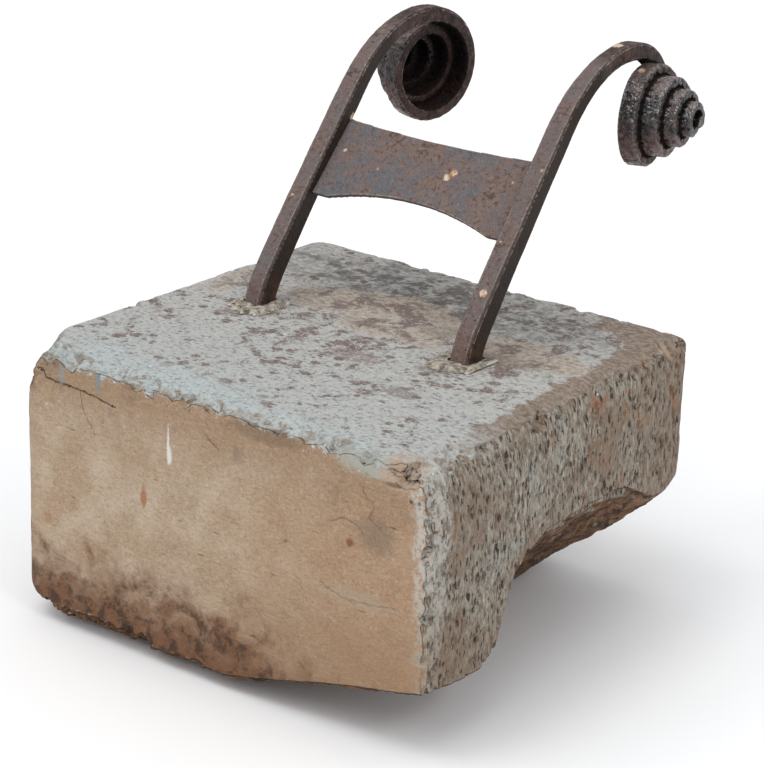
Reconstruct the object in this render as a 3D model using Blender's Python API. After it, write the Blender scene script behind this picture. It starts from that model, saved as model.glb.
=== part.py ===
"""Boot scraper: two wrought-iron uprights with conical scrolls and a scraping blade between them,
leaded into a block of sandstone.

Metres, +Z up. The origin is the middle of the block's flat base. -Y is the sawn front face, and the
uprights lean back towards +Y. Each upright is one forging: a tang in the stone, a leaning square bar,
a hook over the top, and a scroll that winds outwards as a cone, like a snail's shell.
"""

import math

import bmesh
import bpy
from mathutils import Matrix, Vector, noise

NAME = "boot_scraper"
SIDES = {"left": -1.0, "right": 1.0}
GAP = 0.0003  # between pieces that touch

# Stone block
BLOCK_WIDTH = 0.340
BLOCK_DEPTH = 0.330
BLOCK_HEIGHT = 0.200
BLOCK_CUTS = 19  # grid lines across each face
EDGE_CROWDING = 1.35  # moves the grid lines towards the arrises
ARRIS_RADIUS = 0.007
CORNER_RADII = {(-1, -1): 0.026, (1, 1): 0.015, (-1, 1): 0.015}  # of vertical corners, by sign of x, y
FRONT_FLARE = 0.019  # how much further out the right face stands at the front, under the arris
FLARE_DEPTH = 0.050  # depth over which it comes out
# planes that worn or broken corners are cut to: the way the plane faces, and a point on it
CHIPS = (
    ((-1.0, -0.55, 0.75), (-0.156, -0.165, 0.178)),
    ((-0.75, -0.35, 1.0), (-0.166, -0.120, 0.198)),
    ((0.5, -0.5, 0.9), (0.176, -0.163, 0.197)),
)
BASE_EDGE_LIFT = 0.012  # how far the underside rises towards the left and back edges
FRONT_EDGE_LIFT = 0.005
BASE_EDGE_WIDTH = 0.035
FOOT_LIFT = 0.038  # underside above the ground at the front right corner
FOOT_START = 0.56  # share of the width where the front of the underside starts to rise
FOOT_CURVE = 1.15  # power of that rise; 1 would be a straight slope
FOOT_END = 0.75  # share of the depth where it has died away
RECESS_LIFT = 0.108  # crown of the broken recess, at the right face
RECESS_START = 0.70  # share of the width where the recess starts
RECESS_FRONT = 0.21  # share of the depth where its front wall starts
RECESS_WALL = 0.075  # share of the depth that its front wall takes
SPRING_DROP = 0.024  # how much lower the recess is behind its front wall than at its crown
SPRING_END = 0.45  # share of the depth where it reaches its crown
HEEL_DROP = 0.026  # how much lower the recess is at the back of the right face
HEEL_START = 0.70  # shares of the depth where it starts to come down, and where it is down
HEEL_END = 0.90
ROUGHNESS = {"front": 0.0, "top": 0.0, "right": 0.0018, "left": 0.0022, "back": 0.0024}
ROUGH_BUMPS = 35.0  # noise bumps per metre on the faces
NOISE_ORIGIN = Vector((3.1, 7.7, 1.3))  # any place away from the noise's own zero
BELLY_ROUGHNESS = 0.005
BELLY_BUMPS = 22.0  # noise bumps per metre on the underside
BELLY_LIFT = (0.001, 0.012)  # the underside is flat below the first height, fully rough above the second
ARRIS_WEAR = (0.8, 1.7)  # least and most wear of an arris, in shares of its even rounding
FLARE_POWER = 4  # keeps the flare to the right end of the block
SKIN = 0.999  # grid lines beyond this are on a face

# Mortises and lead
MORTISE_LIP = 0.004  # how far the cutter stands above the stone
MORTISE_TOP = (0.030, 0.036)
MORTISE_BOTTOM = (0.038, 0.046)
MORTISE_DEPTH = 0.062
CRUST_HEIGHT = 0.0034
CRUST_SIZE = (0.040, 0.047)
CRUST_SLOPE = 0.0045
CRUST_POINTS = 36
CRUST_SHIFT = Vector((-0.003, -0.004, 0.0))  # from the foot's centre, on the right-hand side
CRUST_LOBES = ((1.7, 0.13), (4.9, 0.07))  # lobes round the outline, and how far they reach
CRUST_SQUARE = 0.35  # 0 is round, 1 is a rectangle
CRUST_RIM = (0.45, 0.0008)  # share of the height, and inset, where the rim turns over

# Uprights
IRON_CENTRE_X = -0.007
UPRIGHT_SPACING = 0.181
BAR_WIDTH = 0.016
FOOT_FRONT_Y = -0.001
TANG_LENGTH = 0.050
TANG_STEPS = 4
TANG_LEAN = 86.0  # degrees above horizontal, deep in the stone
FOOT_LEAN = 79.0
BAR_LEAN = {"left": 50.2, "right": 51.0}  # where the hook starts
BAR_BOW = 2.5  # how much steeper the bar is low down
FOOT_BEND = 0.042  # length over which FOOT_LEAN eases into the bar's lean
RUN_LENGTH = 0.182  # from the stone's top to where the hook starts
STRAIGHT_STEP = 0.013

# Hook and scroll, as radii of the bar's outer face
HOOK_START_RADIUS = 0.123
HOOK_TOP_RADIUS = 0.087
SCROLL_RADIUS = 0.0425
SCROLL_SHRINK = 0.0080  # per turn
SCROLL_DECAY = 28.0  # degrees over which the hook tightens into the scroll
SCROLL_TURNS = 4.6
SCROLL_STEP = 12.0
WIND_START = 128.0  # degrees past the top where the bar starts to wind outwards
WIND_PITCH = 0.0163  # per turn, at first
WIND_TIGHTENING = 0.0028
SPLAY = 8.5  # degrees that the scroll's axis turns backwards
SPLAY_RISE = 3.5  # degrees that it points up
SPLAY_FROM = -40.0
SPLAY_TO = 60.0

# Bar section: degrees past the hook's top, width, thickness
TAPER = (
    (-51.0, 0.0160, 0.0141),
    (0.0, 0.0122, 0.0117),
    (45.0, 0.0127, 0.0097),
    (90.0, 0.0132, 0.0088),
    (360.0, 0.0130, 0.0083),
    (720.0, 0.0124, 0.0072),
    (1080.0, 0.0108, 0.0062),
    (1440.0, 0.0085, 0.0050),
    (1656.0, 0.0060, 0.0034),
)
FOOT_THICKNESS = 0.0203
TANG_FLARE = 0.004  # the tang's end is this much wider and thicker
SECTION_CHAMFER = 0.12  # share of the thickness
SHARP_FROM = 25.0  # degrees between faces

# Blade
BLADE_THICKNESS = 0.005
BLADE_HEIGHT = 0.063
BLADE_LEAN = 47.5
BLADE_BOTTOM_Y = 0.0555  # front face at its lower edge
BLADE_BOTTOM_Z = 0.0735  # above the stone
BLADE_TOP_SAG = 0.0035
BLADE_WAIST_RISE = 0.0115
BLADE_SHOULDER = 0.013  # straight end of the lower edge, beside the waist's arc
BLADE_ARC_STEPS = 16


def clear_scene():
    for scene_object in list(bpy.data.objects):
        bpy.data.objects.remove(scene_object, do_unlink=True)


def new_collection(name):
    collection = bpy.data.collections.new(name)
    bpy.context.scene.collection.children.link(collection)
    return collection


def principled(name, colour, roughness, metallic):
    material = bpy.data.materials.new(name)
    material.use_nodes = True
    shader = material.node_tree.nodes["Principled BSDF"]
    shader.inputs["Base Color"].default_value = (*colour, 1.0)
    shader.inputs["Roughness"].default_value = roughness
    shader.inputs["Metallic"].default_value = metallic
    return material


def new_object(name, mesh, collection, material=None):
    mesh_object = bpy.data.objects.new(name, mesh)
    collection.objects.link(mesh_object)
    if material:
        mesh_object.data.materials.append(material)
    return mesh_object


def mesh_from_bmesh(name, bm):
    bmesh.ops.recalc_face_normals(bm, faces=bm.faces)
    mesh = bpy.data.meshes.new(name)
    bm.to_mesh(mesh)
    bm.free()
    return mesh


def cut(target, cutter):
    """Take the cutter away from the target, and keep the cutter as a wire guide."""
    cutter.hide_render = True
    cutter.display_type = "WIRE"
    modifier = target.modifiers.new("cut_" + cutter.name, "BOOLEAN")
    modifier.operation = "DIFFERENCE"
    modifier.solver = "EXACT"
    modifier.object = cutter


def ramp(value, start, end):
    """0 before start, 1 after end, and a smooth step between."""
    share = min(1.0, max(0.0, (value - start) / (end - start)))
    return share * share * (3.0 - 2.0 * share)


# ---------------------------------------------------------------- stone block


def underside(x, y):
    """Height of the block's broken underside above the ground; 0 over the flat base."""
    across = x / BLOCK_WIDTH + 0.5
    back = y / BLOCK_DEPTH + 0.5
    to_left_or_back = min(x + BLOCK_WIDTH / 2, BLOCK_DEPTH / 2 - y)
    edge = BASE_EDGE_LIFT * (1.0 - ramp(to_left_or_back, 0.0, BASE_EDGE_WIDTH))
    front = FRONT_EDGE_LIFT * (1.0 - ramp(y + BLOCK_DEPTH / 2, 0.0, BASE_EDGE_WIDTH))
    foot = FOOT_LIFT * max(0.0, (across - FOOT_START) / (1.0 - FOOT_START)) ** FOOT_CURVE
    crown = RECESS_LIFT - HEEL_DROP * ramp(back, HEEL_START, HEEL_END)
    crown -= SPRING_DROP * (1.0 - ramp(back, RECESS_FRONT, SPRING_END))
    recess = crown * max(0.0, (across - RECESS_START) / (1.0 - RECESS_START))
    in_recess = ramp(back, RECESS_FRONT, RECESS_FRONT + RECESS_WALL)
    foot_share = 1.0 - ramp(back, RECESS_FRONT + RECESS_WALL, FOOT_END)
    lift = edge + front + max(foot * foot_share, recess * in_recess)
    wobble = 0.5 + 0.5 * noise.noise(Vector((x, y, 0.0)) * BELLY_BUMPS)
    return lift + BELLY_ROUGHNESS * wobble * ramp(lift, *BELLY_LIFT)


def crowded(share):
    """Moves a grid line at -1..1 towards its nearest end."""
    return math.copysign(1.0 - (1.0 - abs(share)) ** EDGE_CROWDING, share)


def round_corner(point, half, radius, signs):
    """Pull a point in to a vertical corner's rounding, seen from above."""
    centre = [sign * (size - radius) for sign, size in zip(signs, half)]
    offset = [(value - middle) * sign for value, middle, sign in zip(point, centre, signs)]
    reach = math.hypot(*offset)
    if min(offset) <= 0.0 or reach == 0.0:
        return list(point)
    # along a ray from the rounding's centre, the square's edge is at reach / longest offset
    scale = max(offset) / reach
    return [middle + sign * value * scale for middle, sign, value in zip(centre, signs, offset)]


def right_flare(y, depth):
    """How far the right face stands out, at this depth below the stone's top."""
    forward = 0.5 - y / BLOCK_DEPTH
    short = 1.0 - min(1.0, depth / FLARE_DEPTH)
    return FRONT_FLARE * forward * math.sqrt(1.0 - short * short)


def trimmed(point):
    """Press a point of the block's skin back onto each plane that it stands in front of."""
    for way, on_plane in CHIPS:
        normal = Vector(way).normalized()
        height = (point - Vector(on_plane)).dot(normal)
        if height > 0.0:
            point = point - normal * height
    return point


def block_point(grid):
    """Place one point of the unit cube's grid on the block."""
    half_width, half_depth = BLOCK_WIDTH / 2, BLOCK_DEPTH / 2
    x = crowded(grid.x) * half_width
    y = crowded(grid.y) * half_depth
    for signs, radius in CORNER_RADII.items():
        x, y = round_corner((x, y), (half_width, half_depth), radius, signs)
    low = underside(x, y)
    z = low + (BLOCK_HEIGHT - low) * (crowded(grid.z) + 1.0) / 2
    x += right_flare(y, BLOCK_HEIGHT - z) * max(0.0, x / half_width) ** FLARE_POWER
    on_face = [abs(value) > SKIN for value in grid]
    rough = 0.5 + 0.5 * noise.noise(Vector((x, y, z)) * ROUGH_BUMPS + NOISE_ORIGIN)
    inward = Vector((0.0, 0.0, 0.0))
    if on_face[0]:
        side = "right" if grid.x > 0 else "left"
        inward.x -= math.copysign(ROUGHNESS[side] * rough, grid.x)
    if on_face[1]:
        side = "back" if grid.y > 0 else "front"
        inward.y -= math.copysign(ROUGHNESS[side] * rough, grid.y)
    # an arris is pulled in towards the block, as a worn edge is
    if on_face[2] and (on_face[0] or on_face[1]):
        least, most = ARRIS_WEAR
        worn = ARRIS_RADIUS * (1.0 - math.sqrt(0.5)) * (least + (most - least) * rough)
        inward.z -= math.copysign(worn, grid.z)
        if on_face[0]:
            inward.x -= math.copysign(worn, grid.x)
        if on_face[1]:
            inward.y -= math.copysign(worn, grid.y)
    return trimmed(Vector((x, y, z)) + inward)


def build_block(parts, cutters):
    bm = bmesh.new()
    bmesh.ops.create_cube(bm, size=2.0)
    bmesh.ops.subdivide_edges(bm, edges=bm.edges, cuts=BLOCK_CUTS, use_grid_fill=True)
    for vertex in bm.verts:
        vertex.co = block_point(vertex.co)
    bmesh.ops.triangulate(bm, faces=bm.faces)
    material = principled("sandstone", (0.45, 0.36, 0.26), 0.9, 0.0)
    block = new_object("stone_block", mesh_from_bmesh("stone_block", bm), parts, material)
    for side in SIDES:
        name = side + "_mortise_cutter"
        hole = frustum(name, MORTISE_TOP, MORTISE_BOTTOM, MORTISE_DEPTH, MORTISE_LIP)
        hole.transform(Matrix.Translation(foot_centre(side)))
        cut(block, new_object(hole.name, hole, cutters))
    return block


# ---------------------------------------------------------------- uprights


def upright_x(side):
    return IRON_CENTRE_X + SIDES[side] * UPRIGHT_SPACING / 2


def foot_centre(side):
    return Vector((upright_x(side), FOOT_FRONT_Y + FOOT_THICKNESS / 2, BLOCK_HEIGHT))


def bar_lean(side, distance):
    """Angle above horizontal, this far up the bar from the stone's top."""
    if distance < 0.0:
        return FOOT_LEAN + (TANG_LEAN - FOOT_LEAN) * min(1.0, -distance / TANG_LENGTH)
    lean = BAR_LEAN[side] + BAR_BOW * (1.0 - distance / RUN_LENGTH)
    return lean + (FOOT_LEAN - lean) * (1.0 - min(1.0, distance / FOOT_BEND)) ** 2


def turn_radius(side, angle):
    """Radius of the outer face; the angle is 0 at the hook's top and grows along the bar."""
    if angle < 0.0:
        share = -angle / BAR_LEAN[side]
        return HOOK_TOP_RADIUS + (HOOK_START_RADIUS - HOOK_TOP_RADIUS) * share
    scroll = SCROLL_RADIUS - SCROLL_SHRINK * angle / 360.0
    return scroll + (HOOK_TOP_RADIUS - SCROLL_RADIUS) * math.exp(-angle / SCROLL_DECAY)


def wind_offset(angle):
    """How far the scroll has moved outwards along its axis."""
    turns = max(0.0, angle - WIND_START) / 360.0
    return WIND_PITCH * turns - WIND_TIGHTENING * turns * turns / 2


def section_size(angle):
    """Width and thickness along the hook and scroll."""
    for (start, *low), (end, *high) in zip(TAPER, TAPER[1:]):
        if angle <= end:
            share = max(0.0, (angle - start) / (end - start))
            return [a + (b - a) * share for a, b in zip(low, high)]
    return TAPER[-1][1:]


def scroll_axes(angle):
    """Directions of a right-hand upright: backwards in the scroll's plane, up in it, along its axis."""
    share = ramp(angle, SPLAY_FROM, SPLAY_TO)
    turn, rise = math.radians(SPLAY * share), math.radians(SPLAY_RISE * share)
    back = Vector((-math.sin(turn), math.cos(turn), 0.0))
    axis = Vector((math.cos(turn) * math.cos(rise), math.sin(turn) * math.cos(rise), math.sin(rise)))
    return back, axis.cross(back), axis


def upright_stations(side):
    """Stations up a right-hand upright: point on its outer face, outward normal, axis, width, thickness.

    x is measured from the bar's middle plane.
    """
    stations = []
    along, up, axis = Vector((0, 1, 0)), Vector((0, 0, 1)), Vector((1, 0, 0))

    def straight(point, distance, width, thickness):
        lean = math.radians(bar_lean(side, distance))
        normal = -math.sin(lean) * along + math.cos(lean) * up
        stations.append((point.copy(), normal, axis, width, thickness))

    def walk(point, distance, step):
        lean = math.radians(bar_lean(side, distance + step / 2))
        return point + (math.cos(lean) * along + math.sin(lean) * up) * step

    foot = Vector((0.0, FOOT_FRONT_Y, BLOCK_HEIGHT))
    point, distance = foot, 0.0
    for index in range(TANG_STEPS):
        point = walk(point, distance, -TANG_LENGTH / TANG_STEPS)
        distance -= TANG_LENGTH / TANG_STEPS
        flare = TANG_FLARE * ((index + 1) / TANG_STEPS) ** 2
        straight(point, distance, BAR_WIDTH + flare, FOOT_THICKNESS + flare)
    stations.reverse()

    run_steps = math.ceil(RUN_LENGTH / STRAIGHT_STEP)
    top_thickness = TAPER[0][2]
    point, distance = foot, 0.0
    for index in range(run_steps):
        thickness = FOOT_THICKNESS + (top_thickness - FOOT_THICKNESS) * index / run_steps
        straight(point, distance, BAR_WIDTH, thickness)
        point = walk(point, distance, RUN_LENGTH / run_steps)
        distance += RUN_LENGTH / run_steps

    angle = -BAR_LEAN[side]
    while angle < 360.0 * SCROLL_TURNS:
        back, up, axis = scroll_axes(angle)
        slope = math.radians(-angle)
        normal = -math.sin(slope) * back + math.cos(slope) * up
        stations.append((point + axis * wind_offset(angle), normal, axis, *section_size(angle)))
        step = SCROLL_STEP if angle > 90.0 else SCROLL_STEP / 2
        middle = math.radians(-(angle + step / 2))
        radius = turn_radius(side, angle + step / 2)
        chord = 2.0 * radius * math.sin(math.radians(step) / 2)
        point = point + (math.cos(middle) * back + math.sin(middle) * up) * chord
        angle += step
    return stations


def section_ring(station, grow=0.0):
    """Eight corners of the bar's chamfered section; grow widens it on every side."""
    point, normal, axis, width, thickness = station
    chamfer = SECTION_CHAMFER * thickness
    half = width / 2 + grow
    inner = thickness + grow
    flat = (
        (-half + chamfer, grow),
        (half - chamfer, grow),
        (half, grow - chamfer),
        (half, -inner + chamfer),
        (half - chamfer, -inner),
        (-half + chamfer, -inner),
        (-half, -inner + chamfer),
        (-half, grow - chamfer),
    )
    return [point + axis * sideways + normal * outward for sideways, outward in flat]


def loft(rings, side):
    """Skin a row of equal rings and cap both ends; the left upright is the right one mirrored."""
    bm = bmesh.new()
    place = Matrix.Translation((upright_x(side), 0.0, 0.0)) @ Matrix.Diagonal((SIDES[side], 1, 1, 1))
    rows = [[bm.verts.new(place @ corner) for corner in ring] for ring in rings]
    count = len(rows[0])
    for lower, upper in zip(rows, rows[1:]):
        for index in range(count):
            after = (index + 1) % count
            bm.faces.new((lower[index], lower[after], upper[after], upper[index]))
    bm.faces.new(rows[0])
    bm.faces.new(rows[-1])
    return bm


def build_upright(side, parts):
    rings = [section_ring(station) for station in upright_stations(side)]
    material = principled(side + "_iron", (0.12, 0.09, 0.08), 0.6, 0.7)
    name = side + "_upright"
    upright = new_object(name, mesh_from_bmesh(name, loft(rings, side)), parts, material)
    upright.data.set_sharp_from_angle(angle=math.radians(SHARP_FROM))
    return upright


# ---------------------------------------------------------------- lead


def frustum(name, top, bottom, depth, above):
    """A dovetailed plug that hangs below the origin; it may stand a little above it."""
    bm = bmesh.new()
    corner = math.sqrt(2.0) / 2
    bmesh.ops.create_cone(
        bm, cap_ends=True, segments=4, radius1=corner, radius2=corner, depth=depth + above
    )
    bmesh.ops.rotate(bm, verts=bm.verts, matrix=Matrix.Rotation(math.radians(45.0), 3, "Z"))
    for vertex in bm.verts:
        size = top if vertex.co.z > 0.0 else bottom
        vertex.co.x *= size[0]
        vertex.co.y *= size[1]
        vertex.co.z += (above - depth) / 2
    return mesh_from_bmesh(name, bm)


def crust_outline(seed, inset):
    """The ragged outline of the lead that was left round the iron's foot."""
    points = []
    for index in range(CRUST_POINTS):
        angle = 2.0 * math.pi * index / CRUST_POINTS
        way = Vector((math.cos(angle), math.sin(angle), seed))
        reach = 1.0 + sum(share * noise.noise(way * lobes) for lobes, share in CRUST_LOBES)
        square = 1.0 / max(abs(way.x), abs(way.y)) ** CRUST_SQUARE
        points.append(
            (
                way.x * (CRUST_SIZE[0] / 2 * reach * square - inset),
                way.y * (CRUST_SIZE[1] / 2 * reach * square - inset),
            )
        )
    return points


def crust_mesh(name, seed):
    """A low mound of lead that lies on the stone."""
    bm = bmesh.new()
    rim_share, rim_inset = CRUST_RIM
    levels = ((GAP, 0.0), (CRUST_HEIGHT * rim_share, rim_inset), (CRUST_HEIGHT, CRUST_SLOPE))
    rows = []
    for height, inset in levels:
        rows.append([bm.verts.new((x, y, height)) for x, y in crust_outline(seed, inset)])
    for lower, upper in zip(rows, rows[1:]):
        for index in range(CRUST_POINTS):
            after = (index + 1) % CRUST_POINTS
            bm.faces.new((lower[index], lower[after], upper[after], upper[index]))
    bm.faces.new(rows[0])
    bm.faces.new(rows[-1])
    return mesh_from_bmesh(name, bm)


def tang_cutter(side, cutters):
    """The space that the tang takes in the lead, with the gap round it and past its end."""
    stations = upright_stations(side)[: 2 * TANG_STEPS]
    end = section_ring(stations[0], GAP)
    below = [corner - Vector((0.0, 0.0, GAP)) for corner in end]
    rings = [below] + [section_ring(station, GAP) for station in stations]
    name = side + "_tang_cutter"
    return new_object(name, mesh_from_bmesh(name, loft(rings, side)), cutters)


def build_lead(side, parts, cutters):
    name = side + "_lead_plug"
    top = [size - 2 * GAP for size in MORTISE_TOP]
    bottom = [size - 2 * GAP for size in MORTISE_BOTTOM]
    material = principled(side + "_lead", (0.55, 0.52, 0.46), 0.8, 0.2)
    plug_mesh = frustum(name, top, bottom, MORTISE_DEPTH - GAP, CRUST_HEIGHT / 2)
    plug = new_object(name, plug_mesh, parts, material)
    plug.location = foot_centre(side)

    crust_name = side + "_crust"
    crust = new_object(crust_name, crust_mesh(crust_name, 2.0 + SIDES[side]), cutters)
    crust.location = foot_centre(side) + CRUST_SHIFT * Vector((SIDES[side], 1.0, 1.0))
    crust.hide_render = True
    crust.display_type = "WIRE"
    union = plug.modifiers.new("crust", "BOOLEAN")
    union.operation = "UNION"
    union.solver = "EXACT"
    union.object = crust
    cut(plug, tang_cutter(side, cutters))
    return plug


# ---------------------------------------------------------------- blade


def blade_outline(length):
    """Closed outline in the blade's plane: x along it, y up it, from its lower left corner."""
    half = length / 2
    arc_half = half - BLADE_SHOULDER
    lower, upper = [], []
    for index in range(BLADE_ARC_STEPS + 1):
        share = 2.0 * index / BLADE_ARC_STEPS - 1.0
        lower.append((share * arc_half, BLADE_WAIST_RISE * (1.0 - share * share)))
        upper.append((-share * half, BLADE_HEIGHT - BLADE_TOP_SAG * (1.0 - share * share)))
    return [(-half, 0.0), *lower, (half, 0.0), *upper]


def build_blade(parts):
    length = UPRIGHT_SPACING - BAR_WIDTH - 2 * GAP
    curve = bpy.data.curves.new("scraper_blade", "CURVE")
    curve.dimensions = "2D"
    curve.fill_mode = "BOTH"
    curve.extrude = BLADE_THICKNESS / 2
    outline = blade_outline(length)
    spline = curve.splines.new("POLY")
    spline.points.add(len(outline) - 1)
    for point, (x, y) in zip(spline.points, outline):
        point.co = (x, y, 0.0, 1.0)
    spline.use_cyclic_u = True
    material = principled("blade_iron", (0.13, 0.10, 0.09), 0.6, 0.7)
    blade = new_object("scraper_blade", curve, parts, material)
    lean = math.radians(BLADE_LEAN)
    behind = Vector((0.0, math.sin(lean), -math.cos(lean))) * BLADE_THICKNESS / 2
    blade.location = behind + Vector((IRON_CENTRE_X, BLADE_BOTTOM_Y, BLOCK_HEIGHT + BLADE_BOTTOM_Z))
    blade.rotation_euler = (lean, 0.0, 0.0)
    return blade


def main():
    clear_scene()
    parts = new_collection(NAME)
    cutters = new_collection("cutters")
    build_block(parts, cutters)
    for side in SIDES:
        build_upright(side, parts)
        build_lead(side, parts, cutters)
    build_blade(parts)


main()
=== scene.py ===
"""Looks of a boot scraper: forged iron uprights with conical scrolls and a blade, leaded into a
worn sandstone block whose top still carries old blue-grey paint.

Every visible piece starts as a dense copy of its CAD solid. Numpy and noise then wear it inwards, so
nothing stands outside the CAD model, and procedural materials give it its colours. Sizes are in
metres, angles in degrees and colours in linear RGB. A share says how strongly a layer shows.
"""

import math
import random
from types import SimpleNamespace

import bmesh
import bpy
import numpy as np
from mathutils import Matrix, Vector, noise


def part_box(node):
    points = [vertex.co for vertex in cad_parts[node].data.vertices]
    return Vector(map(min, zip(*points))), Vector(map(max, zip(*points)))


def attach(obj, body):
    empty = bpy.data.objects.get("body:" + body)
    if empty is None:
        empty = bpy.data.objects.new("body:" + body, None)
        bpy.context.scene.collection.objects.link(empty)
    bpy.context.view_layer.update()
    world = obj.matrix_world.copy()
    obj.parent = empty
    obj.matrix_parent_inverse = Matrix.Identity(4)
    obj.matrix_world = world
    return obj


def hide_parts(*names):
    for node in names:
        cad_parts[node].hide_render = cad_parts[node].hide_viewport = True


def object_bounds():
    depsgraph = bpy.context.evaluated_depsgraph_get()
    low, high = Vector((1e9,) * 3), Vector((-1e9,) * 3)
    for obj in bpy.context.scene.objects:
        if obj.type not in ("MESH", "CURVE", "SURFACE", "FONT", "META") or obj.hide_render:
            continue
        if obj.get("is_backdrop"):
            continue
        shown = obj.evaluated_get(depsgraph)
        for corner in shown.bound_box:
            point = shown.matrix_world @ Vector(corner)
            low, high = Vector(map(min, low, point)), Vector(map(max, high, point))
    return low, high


random.seed(7)
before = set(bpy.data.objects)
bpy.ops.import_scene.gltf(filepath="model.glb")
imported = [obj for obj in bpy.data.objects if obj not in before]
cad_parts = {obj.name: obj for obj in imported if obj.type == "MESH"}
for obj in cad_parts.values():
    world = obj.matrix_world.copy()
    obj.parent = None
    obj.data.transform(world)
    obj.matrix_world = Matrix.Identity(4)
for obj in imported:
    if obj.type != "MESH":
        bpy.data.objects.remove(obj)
CAD_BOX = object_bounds()
STONE_LOW, STONE_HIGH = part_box("stone_block")
TOP_Z = STONE_HIGH.z
FEET = [
    (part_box(node)[0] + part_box(node)[1]) / 2 for node in ("left_lead_plug", "right_lead_plug")
]

# the scrolls: the plane where they start, their middle height and axis, and the bars' outer faces
SCROLL_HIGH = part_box("right_upright")[1]
SCROLL_FROM_Y = SCROLL_HIGH.y - 0.088
SCROLL_MID_Z = SCROLL_HIGH.z - 0.046
SCROLL_AXIS_Y = SCROLL_HIGH.y - 0.042
SCROLL_AXIS_Z = SCROLL_HIGH.z - 0.053
SCROLL_MIDDLE_X = (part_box("left_upright")[0].x + SCROLL_HIGH.x) / 2
SCROLL_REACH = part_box("right_lead_plug")[1].x - SCROLL_MIDDLE_X - 0.012

# ---- shape of the wear

STONE_VOXEL = 0.0017
IRON_VOXEL = 0.0007
BLADE_VOXEL = 0.0009
LEAD_VOXEL = 0.0005

FOOT_GUARD = 0.03  # the stone stays as it is this close to a foot
SOFT_ROUNDS = 7  # least and extra rounding of the arrises
WORN_ROUNDS = 26
CHIPS_PER_METRE = 210
CHIP_DEPTHS = (0.001, 0.0042)
CHIP_REACHES = (0.005, 0.015)
CHIP_TILT = 0.35

FACE_WAVES = 0.0006  # how deep each kind of wear goes into the stone
TOP_GRIT = 0.00035
PECK_DEPTH = 0.002
SIDE_WAVES = 0.001
BROKEN_DEPTH = 0.005
CORNER_DEPTH = 0.0046
CORNER = (-0.15, -0.15, 0.192)  # where the front left corner is lumpy

# centre, half sizes and depth of hollows that are bigger than the arris chips
STONE_DENTS = (
    ((0.165, -0.164, 0.194), (0.017, 0.014, 0.011), 0.0075),
    ((0.052, -0.16, 0.199), (0.022, 0.009, 0.006), 0.0022),
    ((-0.06, -0.16, 0.199), (0.012, 0.008, 0.006), 0.0018),
    ((0.183, -0.16, 0.177), (0.009, 0.008, 0.003), 0.002),
    ((0.176, 0.125, 0.086), (0.01, 0.03, 0.006), 0.004),
)

SCROLL_SWELL = 0.0009  # closes the scrolls' turns up, as scale and dirt have
TIP_SWELL = 0.0029
HAMMER_DEPTH = 0.00045
SKIN_DEPTH = 0.00018
SCALE_POCKS = 0.00058
BAR_POCKS = 0.0001
SCALE_LUMPS = 0.0005

CRUST_LUMPS = 0.0018
CRUST_TEAR = 0.2  # how far the lead's rim is torn back, as a share of its reach

# ---- colours

TAN = (0.375, 0.27, 0.18)
TAN_LIGHT = (0.47, 0.375, 0.28)
TAN_ORANGE = (0.345, 0.205, 0.115)
TAN_SHADE = (0.25, 0.175, 0.115)
TAN_LOW = (0.25, 0.15, 0.082)
WRINKLE_PALE = (0.56, 0.47, 0.37)
GRAIN_DARK = (0.13, 0.08, 0.05)
GRAIN_PALE = (0.59, 0.5, 0.4)
SMUDGE = (0.17, 0.125, 0.09)
DIRT = (0.152, 0.068, 0.032)
DIRT_PALE = (0.3, 0.17, 0.095)
DIRT_DARK = (0.05, 0.03, 0.021)
GROUND_STAIN = (0.2, 0.115, 0.066)
BELLY = (0.24, 0.125, 0.064)

SIDE_GREY = (0.285, 0.255, 0.208)
SIDE_BROWN = (0.19, 0.13, 0.088)
SIDE_LIGHT = (0.42, 0.38, 0.315)
SIDE_STAIN = (0.215, 0.14, 0.093)
SIDE_BLUE = (0.33, 0.345, 0.32)
SIDE_LOW = (0.205, 0.13, 0.078)
HAIR_PALE = (0.5, 0.47, 0.41)
HAIR_DARK = (0.085, 0.058, 0.042)
PIT = (0.052, 0.032, 0.024)
PORE = (0.045, 0.03, 0.023)
RUST = (0.27, 0.115, 0.045)

PAINT = (0.345, 0.345, 0.333)
PAINT_LIGHT = (0.455, 0.45, 0.43)
PAINT_BLUE = (0.415, 0.465, 0.475)
PAINT_BLUER = (0.44, 0.5, 0.505)
PAINT_DARK = (0.215, 0.205, 0.195)
BARE_MAUVE = (0.15, 0.108, 0.095)
BARE_LIGHT = (0.225, 0.175, 0.155)
# painted shadow: the irons' shadow on the top, in dark blotches
PAINTED_IRON_SHADOW = (0.095, 0.083, 0.078)
OCHRE = (0.335, 0.262, 0.205)
OCHRE_LIGHT = (0.47, 0.41, 0.34)
OCHRE_BROWN = (0.195, 0.14, 0.115)
OCHRE_PALE = (0.52, 0.49, 0.43)
OCHRE_DARK = (0.11, 0.07, 0.05)
EDGE_BROWN = (0.18, 0.125, 0.095)
EDGE_BUFF = (0.3, 0.24, 0.19)
DRAB_BROWN = (0.13, 0.09, 0.06)
DRAB_BUFF = (0.42, 0.34, 0.255)
PEEL_LOW = (0.33, 0.275, 0.215)
PEEL_HIGH = (0.49, 0.475, 0.44)
CHALK = (0.6, 0.585, 0.54)
FLECK = (0.78, 0.78, 0.76)

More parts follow.
